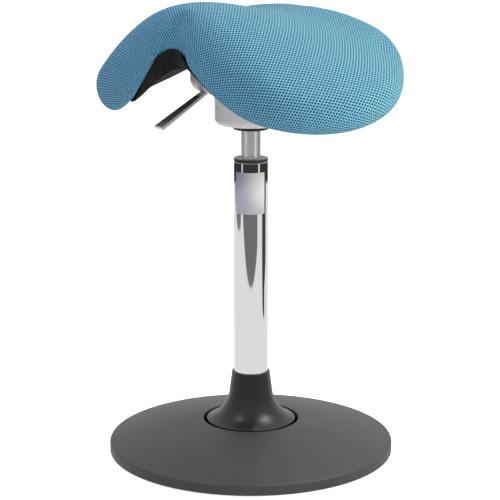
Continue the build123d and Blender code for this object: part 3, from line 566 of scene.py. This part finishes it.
@dataclass(frozen=True)
class Section:
    """One cross section of the saddle's middle line, in mm: a crown arc and a side arc on each hand.

    Attributes:
        crown: Radius of the crown arc.
        side: Radius of the side arcs.
        split: Angle at which the crown meets a side.
        length: Arc length from the ridge to the tip.
        low: Height of the crown's centre.
        half: Half the pad's thickness.
    """

    crown: float
    side: float
    split: float
    length: float
    low: float
    half: float

    def point(self, arc: float, out: float) -> Pair:
        """Finds a point by its arc length from the ridge and its distance from the middle line.

        Args:
            arc: Signed arc length, positive to the sitter's left.
            out: Distance above the middle line.

        Returns:
            X and Z in mm.
        """
        hand = 1.0 if arc >= 0 else -1.0
        turn = self.turn(abs(arc))
        if abs(arc) <= self.crown * self.split:
            reach = self.crown + out
            return hand * reach * math.sin(turn), self.low + reach * math.cos(turn)
        step = self.crown - self.side
        x = step * math.sin(self.split) + (self.side + out) * math.sin(turn)
        z = self.low + step * math.cos(self.split) + (self.side + out) * math.cos(turn)
        return hand * x, z

    def turn(self, arc: float) -> float:
        """Angle of the surface at an arc length from the ridge."""
        on_crown = self.crown * self.split
        return arc / self.crown if arc <= on_crown else self.split + (arc - on_crown) / self.side

    def tip(self, hand: float, swing: float) -> Pair:
        """Finds a point on the round tip.

        Args:
            hand: 1 or -1.
            swing: Angle from the upper face round to the lower one, 0 to pi.

        Returns:
            X and Z in mm.
        """
        x, z = self.point(self.length, 0.0)
        angle = self.turn(self.length) + swing
        return hand * (x + self.half * math.sin(angle)), z + self.half * math.cos(angle)


@dataclass
class Saddle:
    """The form that the upholstery and the dust cover share, in mm; the same sizes as the solids'.

    Attributes:
        front: Y of the front end.
        rear: Y of the rear end.
        ridge: Heights of the ridge, front to rear, as a smooth run of four.
        crown: Radii of the crown, likewise.
        crown_angle: Angle at which crown and side meet, in degrees.
        crown_share: Greatest share of the length from ridge to tip that the crown takes.
        side: Radius of the sides.
        wing: Greatest arc length from ridge to tip.
        wing_front: How far the wing's oval closes towards the front.
        wing_rear: How far it closes towards the rear.
        pad_front: Thickness at the front.
        pad_rear: Thickness at the rear.
        nose_front: Length over which the front end rounds off.
        nose_rear: Length over which the rear end rounds off.
        pinch: How far the cloth is drawn back in the middle of the front.
        pinch_wide: Distance to each side over which that fades.
        pinch_long: Distance to the rear over which it fades.
    """

    front: float = -173.3
    rear: float = 118.1
    ridge: tuple[float, ...] = (641.7, 701.3, 607.2, 660.9)
    crown: tuple[float, ...] = (91.2, 232.4, 483.6, 449.4)
    crown_angle: float = 32.2
    crown_share: float = 0.7
    side: float = 359.4
    wing: float = 234.9
    wing_front: float = 0.99
    wing_rear: float = 0.87
    pad_front: float = 73.9
    pad_rear: float = 56.5
    nose_front: float = 36.0
    nose_rear: float = 43.2
    pinch: float = 11.0
    pinch_wide: float = 20.0
    pinch_long: float = 60.0

    @staticmethod
    def along(values: tuple[float, ...], t: float) -> float:
        """Value of a smooth run of four sizes, t from 0 to 1."""
        a, b, c, d = values
        s = 1 - t
        return a * s**3 + 3 * b * t * s**2 + 3 * c * t**2 * s + d * t**3

    def section(self, y: float) -> Section:
        """Works out the cross section at a station.

        Args:
            y: Place from front to rear.

        Returns:
            The section there.
        """
        t = (y - self.front) / (self.rear - self.front)
        full = self.pad_front + (self.pad_rear - self.pad_front) * t
        ahead = min(1.0, max(0.0, (self.front + self.nose_front - y) / self.nose_front))
        behind = min(1.0, max(0.0, (y - self.rear + self.nose_rear) / self.nose_rear))
        reach = abs(2 * t - 1) * (self.wing_front if t < 0.5 else self.wing_rear)
        rear_fall = math.sqrt(1 - behind**2)
        length = self.wing * math.sqrt(1 - reach**2) - self.nose_rear * (1 - rear_fall)
        crown = self.along(self.crown, t) - full / 2
        return Section(
            crown=crown,
            side=self.side - full / 2,
            split=min(math.radians(self.crown_angle), self.crown_share * length / crown),
            length=length,
            low=self.along(self.ridge, t) - full / 2 - crown,
            half=full / 2 * math.sqrt(1 - ahead**2) * rear_fall,
        )

    def pinched(self, x: float, y: float) -> float:
        """Y of a point once the middle of the front is drawn back."""
        left = max(0.0, 1 - (y - self.front) / self.pinch_long)
        return y + self.pinch * left**2 * math.exp(-((x / self.pinch_wide) ** 2))

    def stations(self, nose_steps: int, body_steps: int) -> list[float]:
        """Places the stations, evenly along the body and round both noses.

        Args:
            nose_steps: Steps round each nose.
            body_steps: Steps along the body.

        Returns:
            Y of each station, front to rear.
        """
        quarter = [math.cos(math.pi / 2 * k / nose_steps) for k in range(nose_steps)]
        first, last = self.front + self.nose_front, self.rear - self.nose_rear
        body = [first + (last - first) * k / body_steps for k in range(body_steps + 1)]
        ahead = [first - self.nose_front * c for c in quarter]
        behind = [last + self.nose_rear * c for c in reversed(quarter)]
        return ahead + body + behind


@dataclass
class ClothRun:
    """One cloth simulation, run to its end and kept as a plain mesh.

    Attributes:
        frames: Steps to run.
        pressure: Pressure inside, 0 for an open sheet.
        gravity: Share of gravity.
        shrink: Share by which the cloth draws in, negative to give it slack.
        tension: Stiffness against stretch.
        bending: Stiffness against folds.
        cap_mm: Furthest that a point may move.
    """

    frames: int = 20
    pressure: float = 0.0
    gravity: float = 0.0
    shrink: float = 0.0
    tension: float = 15.0
    bending: float = 0.5
    cap_mm: float = 5.0

    def run(self, piece: Object, pinned: str) -> None:
        """Simulates a piece, then caps how far its points moved.

        Args:
            piece: Mesh object that becomes the simulated one.
            pinned: Vertex group that stays where it is.
        """
        cloth = piece.modifiers.new("Cloth", "CLOTH")
        settings = cloth.settings
        settings.quality = 6
        settings.mass = 0.25
        settings.tension_stiffness = settings.compression_stiffness = self.tension
        settings.shear_stiffness = self.tension / 2
        settings.bending_stiffness = self.bending
        settings.shrink_min = settings.shrink_max = self.shrink
        settings.use_pressure = self.pressure > 0
        settings.uniform_pressure_force = self.pressure
        settings.effector_weights.gravity = self.gravity
        settings.vertex_group_mass = pinned
        cloth.point_cache.frame_end = self.frames
        rest = [v.co.copy() for v in piece.data.vertices]
        scene = bpy.context.scene
        for number in range(1, self.frames + 1):
            scene.frame_set(number)
        graph = bpy.context.evaluated_depsgraph_get()
        settled = [v.co.copy() for v in piece.evaluated_get(graph).data.vertices]
        piece.modifiers.remove(cloth)
        scene.frame_set(1)
        for vertex, start, end in zip(piece.data.vertices, rest, settled):
            free = 1 - sum(group.weight for group in vertex.groups)
            way = (end - start) * free
            vertex.co = start + way * min(1.0, self.cap_mm * MM / max(way.length, TINY))
        piece.data.update()


@dataclass
class Upholstery:
    """The seat's knitted cover with the foam that fills it, as one crowned pad.

    Attributes:
        saddle: The form that it follows.
        leg_steps: Faces from ridge to tip, above and below.
        tip_steps: Faces round a tip.
        nose_steps: Rows round each nose.
        body_steps: Rows along the body.
        tuck_mm: How far the underside is drawn in where the dust cover lies.
        seam_mm: Distance over which it is drawn in.
        plain_mm: Width of the knit that shows between the tip roll and the dust cover.
        swell: The simulation that fills it out.
        start_inset_mm: How much smaller the pad starts, to swell into its size.
        held_from: Share of the tuck from which the shell holds the pad.
        weld_mm: Distance under which two points become one.
    """

    saddle: Saddle
    leg_steps: int = 46
    tip_steps: int = 16
    nose_steps: int = 12
    body_steps: int = 42
    tuck_mm: float = 8.0
    seam_mm: float = 14.0
    plain_mm: float = 6.0
    swell: ClothRun = field(
        default_factory=lambda: ClothRun(pressure=4.0, tension=30.0, bending=3.0, cap_mm=2.0)
    )
    start_inset_mm: float = 1.2
    held_from: float = 0.7
    weld_mm: float = 0.02

    def ring(self) -> list[tuple[str, float]]:
        """Lists the places round a section, from the middle of the underside round to it again.

        Returns:
            Leg and share along it, for each point.
        """
        leg = [k / self.leg_steps for k in range(self.leg_steps)]
        tip = [k / self.tip_steps for k in range(self.tip_steps)]
        places = [("under", s) for s in leg] + [("left", 1 - s) for s in tip]
        places += [("over", 1 - s) for s in leg] + [("over", -s) for s in leg]
        places += [("right", s) for s in tip] + [("under", s - 1) for s in leg]
        return places + [("under", 0.0)]

    def place(self, section: Section, leg: str, share: float) -> Pair:
        """Finds a point of the ring on a section.

        Args:
            section: The cross section.
            leg: Name of the leg.
            share: Share along the leg.

        Returns:
            X and Z in mm.
        """
        if leg == "over":
            return section.point(share * section.length, section.half)
        if leg == "under":
            return section.point(share * section.length, -section.half)
        return section.tip(1.0 if leg == "left" else -1.0, share * math.pi)

    def build(self) -> Object:
        """Wraps a grid round the saddle, lays its cloth flat and fills it out."""
        places = self.ring()
        rows = self.saddle.stations(self.nose_steps, self.body_steps)
        sections = [self.saddle.section(y) for y in rows]
        columns, lines = len(places) - 1, len(rows) - 1
        crests = [(y, section.point(0.0, section.half)[1]) for y, section in zip(rows, sections)]
        made = bmesh.new()
        bmesh.ops.create_grid(made, x_segments=columns, y_segments=lines, size=0.5)
        made.loops.layers.uv.new(SEAT_KNIT.uv_map)
        tuck = made.verts.layers.float.new("tuck")
        seams = (self.leg_steps, columns - self.leg_steps)
        hem = made.verts.layers.int.new("hem")
        for vertex in made.verts:
            i = round((vertex.co.x + 0.5) * columns)
            j = round((vertex.co.y + 0.5) * lines)
            leg, share = places[i]
            x, z = self.place(sections[j], leg, share)
            vertex.co = Vector((x, self.saddle.pinched(x, rows[j]), z)) * MM
            vertex[hem] = int(i in seams or j in (0, lines))
            if leg == "under":
                inside = min(
                    sections[j].length * (1 - abs(share)) - self.plain_mm,
                    self.run(crests[: j + 1]),
                    self.run(crests[j:]),
                )
                vertex[tuck] = min(1.0, max(0.0, inside / self.seam_mm))
        bmesh.ops.remove_doubles(made, verts=made.verts, dist=self.weld_mm * MM)
        bmesh.ops.recalc_face_normals(made, faces=made.faces)
        for edge in made.edges:
            edge.seam = all(v[hem] for v in edge.verts)
        piece = link_mesh("seat_upholstery", made, SEAT_KNIT.material())
        lay_flat(piece, SEAT_KNIT.uv_map, 1.0)
        self.fill_out(piece)
        smooth = piece.modifiers.new("Smooth", "SUBSURF")
        smooth.levels = smooth.render_levels = 1
        return piece

    @staticmethod
    def run(points: list[Pair]) -> float:
        """Length of a line of points."""
        return sum(math.dist(a, b) for a, b in zip(points, points[1:]))

    def fill_out(self, piece: Object) -> None:
        """Draws the pad in, swells it again and tucks its underside.

        Args:
            piece: The pad, which is held where it is fixed to the shell.
        """
        mesh = piece.data
        tuck = [entry.value for entry in mesh.attributes["tuck"].data]
        held = piece.vertex_groups.new(name="held")
        held.add([k for k, share in enumerate(tuck) if share > self.held_from], 1.0, "REPLACE")
        normals = [v.normal.copy() for v in mesh.vertices]
        for vertex, normal in zip(mesh.vertices, normals):
            vertex.co -= normal * self.start_inset_mm * MM
        mesh.update()
        self.swell.run(piece, "held")
        for vertex, normal, share in zip(mesh.vertices, normals, tuck):
            vertex.co -= normal * self.tuck_mm * MM * share
        mesh.update()

    def dress(self) -> Object:
        """Builds the pad and sets it on the seat."""
        piece = self.build()
        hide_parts("seat_cover", "seat_foam")
        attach(piece, Body.SEAT.value)
        log.info("%s: %d faces", piece.name, len(piece.data.polygons))
        return piece


@dataclass
class DustCover:
    """Thin black cloth stapled under the seat, slack enough to crease.

    Attributes:
        saddle: The form that it closes from below.
        wing_mm: Distance from the lower end of the tip roll.
        wrap: Share of the front nose that the knit wraps under beside the middle.
        wrap_mm: Distance from the middle at which it does.
        hole_mm: Radius of the hole round the mount.
        set_in_mm: Depth of its face inside the pad's lower face.
        thickness_mm: Thickness of the cloth.
        leg_steps: Faces from the middle to a tip.
        nose_steps: Rows round each nose.
        body_steps: Rows along the body.
        slack_mm: X from which to which it hangs free, right and left of the middle.
        firm_mm: Distance beyond that over which the shell takes hold of it.
        creasing: The simulation that creases it.
        rounds: Steps that find a point on the edge of the hole.
    """

    saddle: Saddle
    wing_mm: float = 8.0
    wrap: float = 0.4
    wrap_mm: float = 32.0
    hole_mm: float = 81.0
    set_in_mm: float = 0.8
    thickness_mm: float = 0.7
    leg_steps: int = 50
    nose_steps: int = 12
    body_steps: int = 44
    slack_mm: Pair = (-110.0, 0.0)
    firm_mm: float = 40.0
    creasing: ClothRun = field(
        default_factory=lambda: ClothRun(
            frames=24, gravity=1.0, shrink=-0.06, tension=15.0, bending=0.05, cap_mm=8.0
        )
    )
    rounds: int = 8

    def spot(self, share: float, y: float) -> Vector:
        """Finds a point of the cloth, pushed out of the hole where it would lie in it.

        Args:
            share: Share of the way from the middle to the sitter's left tip, negative to the right.
            y: Station in mm.

        Returns:
            The point in mm.
        """
        saddle = self.saddle
        start = abs(share) * (saddle.section(saddle.front).length - self.wing_mm)
        under = self.wrap * min(1.0, start / self.wrap_mm) ** 2
        edge = saddle.front + saddle.nose_front * (1 - math.sqrt(1 - under**2))
        y = edge + (y - saddle.front) * (saddle.rear - edge) / (saddle.rear - saddle.front)
        section = saddle.section(y)
        arc = share * (section.length - self.wing_mm)
        x, z = section.point(arc, min(self.set_in_mm, section.half) - section.half)
        away = math.hypot(x, y)
        if away >= self.hole_mm:
            return Vector((x, saddle.pinched(x, y), z))
        x, y = (x or 0.01) * self.hole_mm / away, y * self.hole_mm / away
        section = saddle.section(y)
        arc = x
        for _ in range(self.rounds):
            arc += x - section.point(arc, self.set_in_mm - section.half)[0]
        return Vector((x, y, section.point(arc, self.set_in_mm - section.half)[1]))

    def build(self) -> Object:
        """Lays a grid of cloth on the underside, cuts its hole and creases it."""
        rows = self.saddle.stations(self.nose_steps, self.body_steps)
        columns, lines = 2 * self.leg_steps, len(rows) - 1
        made = bmesh.new()
        bmesh.ops.create_grid(made, x_segments=columns, y_segments=lines, size=0.5)
        made.loops.layers.uv.new(DUST_WEAVE.uv_map)
        held = made.verts.layers.deform.verify()
        for vertex in made.verts:
            vertex.co = self.spot(2 * vertex.co.x, rows[round((vertex.co.y + 0.5) * lines)]) * MM
        rim = self.hole_mm * MM + ROUNDING
        inside = [f for f in made.faces if all(math.hypot(v.co.x, v.co.y) < rim for v in f.verts)]
        bmesh.ops.delete(made, geom=inside, context="FACES")
        bmesh.ops.recalc_face_normals(made, faces=made.faces)
        if sum(f.normal.z * f.calc_area() for f in made.faces) > 0:
            bmesh.ops.reverse_faces(made, faces=made.faces)
        for vertex in made.verts:
            x = vertex.co.x / MM
            beyond = max(self.slack_mm[0] - x, x - self.slack_mm[1]) / self.firm_mm
            vertex[held][0] = 1.0 if vertex.is_boundary else min(1.0, max(0.0, beyond))
        piece = link_mesh("seat_dust_cover", made, DUST_WEAVE.material())
        piece.vertex_groups.new(name="held")
        lay_flat(piece, DUST_WEAVE.uv_map, -1.0)
        self.creasing.run(piece, "held")
        wall = piece.modifiers.new("Thickness", "SOLIDIFY")
        wall.thickness = self.thickness_mm * MM
        wall.offset = -1.0
        return piece

    def dress(self) -> Object:
        """Builds the cloth and fixes it under the seat."""
        piece = self.build()
        area = sum(f.area for f in piece.data.polygons)
        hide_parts("dust_cover")
        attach(piece, Body.SEAT.value)
        log.info("%s: area %.4f square metres", piece.name, area)
        return piece


@dataclass
class Label:
    """A blank self-adhesive label wrapped part of the way round the column.

    Attributes:
        tube_mm: Radius of the tube.
        low_mm: Height of its lower edge.
        high_mm: Height of its upper edge.
        facing: Direction that its middle faces, in degrees from the front towards the sitter's left.
        span: Angle that it covers, in degrees.
        thickness_mm: Thickness of the vinyl.
        corner_mm: Radius of its corners.
        glue_mm: Gap between it and the tube.
    """

    tube_mm: float = 25.0
    low_mm: float = 357.2
    high_mm: float = 417.4
    facing: float = 35.8
    span: float = 107.0
    thickness_mm: float = 0.18
    corner_mm: float = 2.0
    glue_mm: float = 0.01

    def build(self) -> Object:
        """Spins an upright edge part of a turn, rounds its corners and gives it thickness."""
        made = bmesh.new()
        middle = math.radians(self.facing - 90)
        start = middle - math.radians(self.span) / 2
        reach = (self.tube_mm + self.glue_mm) * MM
        ends = [
            made.verts.new((reach * math.cos(start), reach * math.sin(start), z * MM))
            for z in (self.low_mm, self.high_mm)
        ]
        made.edges.new(ends)
        bmesh.ops.spin(
            made,
            geom=made.verts[:] + made.edges[:],
            cent=(0, 0, 0),
            axis=(0, 0, 1),
            angle=math.radians(self.span),
            steps=48,
        )
        corners = [v for v in made.verts if len(v.link_edges) == 2]
        bmesh.ops.bevel(
            made,
            geom=corners,
            offset=self.corner_mm * MM,
            affect="VERTICES",
            segments=5,
            profile=0.5,
            material=-1,
        )
        bmesh.ops.recalc_face_normals(made, faces=made.faces)
        if sum(f.normal.dot(f.calc_center_median() * Vector((1, 1, 0))) for f in made.faces) < 0:
            bmesh.ops.reverse_faces(made, faces=made.faces)
        piece = link_mesh("column_label", made, LABEL_VINYL.material())
        wall = piece.modifiers.new("Thickness", "SOLIDIFY")
        wall.thickness = self.thickness_mm * MM
        wall.offset = 1.0
        return piece

    def dress(self) -> Object:
        """Builds the label and sticks it to the column."""
        piece = self.build()
        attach(piece, Body.COLUMN.value)
        log.info("%s: blank", piece.name)
        return piece


# Studio


@dataclass
class Studio:
    """White floor, soft lamps, dark cards for the chrome and the camera at the photograph's angle.

    Attributes:
        azimuth: Camera's direction from the front, in degrees towards the sitter's left.
        pitch: Its angle below the horizon, in radians.
        away: Its level distance from the column.
        height: Its height.
        aside: How far it stands to its left of the column's line.
        focal_px: Focal length in pixels of a 500 pixel frame.
        frame_px: Side of that frame.
        ambient: Strength of the even light from all round.
        ambient_tint: Its colour.
        paper_glow: Light that the floor adds for the camera, which keeps it white.
    """

    azimuth: float = 39.3
    pitch: float = 0.226745
    away: float = 2.4756
    height: float = 0.8711
    aside: float = 0.0013
    focal_px: float = 1755.6
    frame_px: float = 500.0
    ambient: float = 0.44
    ambient_tint: str = "#e2e8ff"
    paper_glow: float = 0.8

    def spot(self, right: float, towards: float, up: float) -> Vector:
        """Finds a place given as the camera sees it from above.

        Args:
            right: Metres to the camera's right of the column.
            towards: Metres from the column towards the camera.
            up: Metres above the floor.

        Returns:
            The place in the stool's own frame.
        """
        angle = math.radians(self.azimuth)
        cos, sin = math.cos(angle), math.sin(angle)
        return Vector((right * cos + towards * sin, right * sin - towards * cos, up))

    def camera(self) -> None:
        """Sets the camera."""
        lens = bpy.data.cameras.new("camera")
        lens.sensor_width = 36.0
        lens.lens = self.focal_px / self.frame_px * lens.sensor_width
        lens.clip_start, lens.clip_end = 0.05, 100.0
        stand = bpy.data.objects.new("camera", lens)
        stand.location = self.spot(-self.aside, self.away, self.height)
        stand.rotation_euler = (math.pi / 2 - self.pitch, 0.0, math.radians(self.azimuth))
        bpy.context.scene.collection.objects.link(stand)
        bpy.context.scene.camera = stand

    @staticmethod
    def seen(tree: NodeTree, *rays: str) -> NodeSocket:
        """Says whether a ray is of one of the given kinds.

        Args:
            tree: Nodes that get the switch.
            *rays: Names of the light path's outputs.

        Returns:
            1 for such rays and 0 for all others.
        """
        path = add_node(tree, "ShaderNodeLightPath").outputs
        share = path[rays[0]]
        for name in rays[1:]:
            share = add_node(
                tree, "ShaderNodeMath", {0: share, 1: path[name]}, operation="MAXIMUM"
            ).outputs[0]
        return share

    def floor(self) -> None:
        """Lays a white floor that keeps the stool's shadow, and shows plain white in polished metal."""
        material = bpy.data.materials.new("white_paper_floor")
        material.use_nodes = True
        tree = material.node_tree
        tree.nodes.clear()
        paper = add_node(tree, "ShaderNodeBsdfDiffuse", {"Color": linear("#f2f2f2")})
        lift = add_node(
            tree,
            "ShaderNodeMath",
            {0: self.seen(tree, "Is Camera Ray", "Is Transmission Ray"), 1: self.paper_glow},
            operation="MULTIPLY",
        ).outputs[0]
        glow = add_node(tree, "ShaderNodeEmission", {"Strength": lift})
        both = add_node(tree, "ShaderNodeAddShader", {0: paper.outputs[0], 1: glow.outputs[0]})
        plain = add_node(tree, "ShaderNodeEmission", {"Strength": 1.0})
        chosen = add_node(
            tree,
            "ShaderNodeMixShader",
            {0: self.seen(tree, "Is Glossy Ray"), 1: both.outputs[0], 2: plain.outputs[0]},
        )
        add_node(tree, "ShaderNodeOutputMaterial", {"Surface": chosen.outputs[0]})
        made = bmesh.new()
        bmesh.ops.create_grid(made, x_segments=2, y_segments=2, size=20.0)
        link_mesh("floor", made, material)

    def world(self) -> None:
        """Lights all round evenly, and shows white behind the stool."""
        sky = bpy.data.worlds.new("studio")
        bpy.context.scene.world = sky
        sky.use_nodes = True
        tree = sky.node_tree
        tree.nodes.clear()
        shown = self.seen(tree, "Is Camera Ray", "Is Glossy Ray", "Is Transmission Ray")
        strength = add_node(tree, "ShaderNodeMapRange", {0: shown, 3: self.ambient, 4: 1.0}).outputs[0]
        tint = add_node(
            tree,
            "ShaderNodeMix",
            {0: shown, 6: linear(self.ambient_tint), 7: linear("#ffffff")},
            data_type="RGBA",
        ).outputs[2]
        back = add_node(tree, "ShaderNodeBackground", {"Color": tint, "Strength": strength})
        add_node(tree, "ShaderNodeOutputWorld", {"Surface": back.outputs[0]})

    def lamp(
        self, name: str, place: Vector, aim: Vector, size: float, watts: float, tint: str = "#ffffff"
    ) -> Object:
        """Hangs a soft square lamp.

        Args:
            name: Lamp's name.
            place: Where it hangs.
            aim: What it points at.
            size: Side of its face in metres.
            watts: Its power.
            tint: Colour of its light.

        Returns:
            The lamp.
        """
        light = bpy.data.lights.new(name, "AREA")
        light.size = size
        light.energy = watts
        light.color = linear(tint)[:3]
        hung = bpy.data.objects.new(name, light)
        hung.location = place
        hung.rotation_euler = (aim - place).to_track_quat("-Z", "Y").to_euler()
        bpy.context.scene.collection.objects.link(hung)
        return hung

    @staticmethod
    def sector(start: int, end: int, near: float, far: float, steps: int = 16) -> list[Pair]:
        """Lists the corners of a piece of a ring round the column.

        Args:
            start: Where it starts, in degrees from the camera's side towards the camera's right.
            end: Where it ends.
            near: Its inner radius in metres.
            far: Its outer radius.
            steps: Sides that each arc is drawn with.

        Returns:
            Metres to the right and towards the camera, in turn.
        """
        turns = [math.radians(start + (end - start) * k / steps) for k in range(steps + 1)]
        inner = [(near * math.sin(a), near * math.cos(a)) for a in turns]
        return inner + [(far * math.sin(a), far * math.cos(a)) for a in reversed(turns)]

    def card(self, name: str, corners: list[Pair], grey: str, lift: float = 0.002) -> None:
        """Lays a dark card on the floor that only shows in polished metal.

        Args:
            name: Card's name.
            corners: Metres to the camera's right and towards the camera, in turn.
            grey: Its colour.
            lift: Its height above the floor in metres.
        """
        material = bpy.data.materials.new(name)
        material.use_nodes = True
        tree = material.node_tree
        tree.nodes.clear()
        matt = add_node(tree, "ShaderNodeEmission", {"Color": linear(grey), "Strength": 1.0})
        add_node(tree, "ShaderNodeOutputMaterial", {"Surface": matt.outputs[0]})
        made = bmesh.new()
        made.faces.new([made.verts.new(self.spot(x, y, lift)) for x, y in corners])
        laid = link_mesh(name, made, material)
        laid.visible_camera = laid.visible_diffuse = laid.visible_shadow = False

    def build(self) -> None:
        """Sets up the whole studio."""
        bpy.context.scene.view_settings.view_transform = "Standard"
        self.camera()
        self.floor()
        self.world()
        seat = self.spot(0.0, 0.0, 0.6)
        foot = self.spot(0.0, 0.0, 0.1)
        key = self.lamp("key_lamp", self.spot(2.4, 0.95, 1.5), seat, size=1.2, watts=66.0, tint="#fcfbda")
        fill = self.lamp("fill_lamp", self.spot(0.4, 1.5, 0.25), seat, size=1.0, watts=4.4, tint="#e8ecff")
        self.lamp("top_lamp", self.spot(0.2, -0.3, 2.6), seat, size=1.6, watts=12.0)
        right = self.lamp("right_lamp", self.spot(1.15, 0.1, 2.1), foot, size=0.55, watts=24.0)
        self.lamp("left_lamp", self.spot(-1.0, 0.35, 2.1), foot, size=0.5, watts=6.5, tint="#e8f0ff")
        # The broad lamps leave no patches in the gloss, and the right one only puts a spot on the bell
        for broad in (key, fill):
            broad.visible_glossy = False
        right.visible_diffuse = False
        # Cards that stand for the dark room, laid where the tube reflects it
        self.card("dark_room_front", [(-1.5, 1.0), (0.95, 1.0), (6.0, 6.2), (-9.0, 6.2)], "#7e7e7e")
        self.card(
            "dark_room_right",
            [(0.75, 0.0), (0.85, 0.1), (1.3, 0.24), (6.0, 1.2), (6.0, -3.0), (1.13, -0.5), (0.83, -0.18)],
            "#4c4c4c",
        )
        self.card("dark_room_left", [(-1.5, 0.55), (-1.6, -1.2), (-6.0, -6.0), (-6.0, 2.2)], "#8a8a8a")
        for number, (start, end) in enumerate(((-150, -64), (-55, 50), (60, 150))):
            self.card(f"dark_room_ring_{number}", self.sector(start, end, 2.1, 4.5), "#3c3c3c", 0.004)


def main() -> None:
    """Builds and dresses the stool, then its studio."""
    logging.basicConfig(level=logging.INFO, format="%(name)s %(message)s")
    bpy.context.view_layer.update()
    dress_nodes()
    saddle = Saddle()
    Upholstery(saddle).dress()
    DustCover(saddle).dress()
    Label().dress()
    Studio().build()


if __name__ == "__main__":
    main()
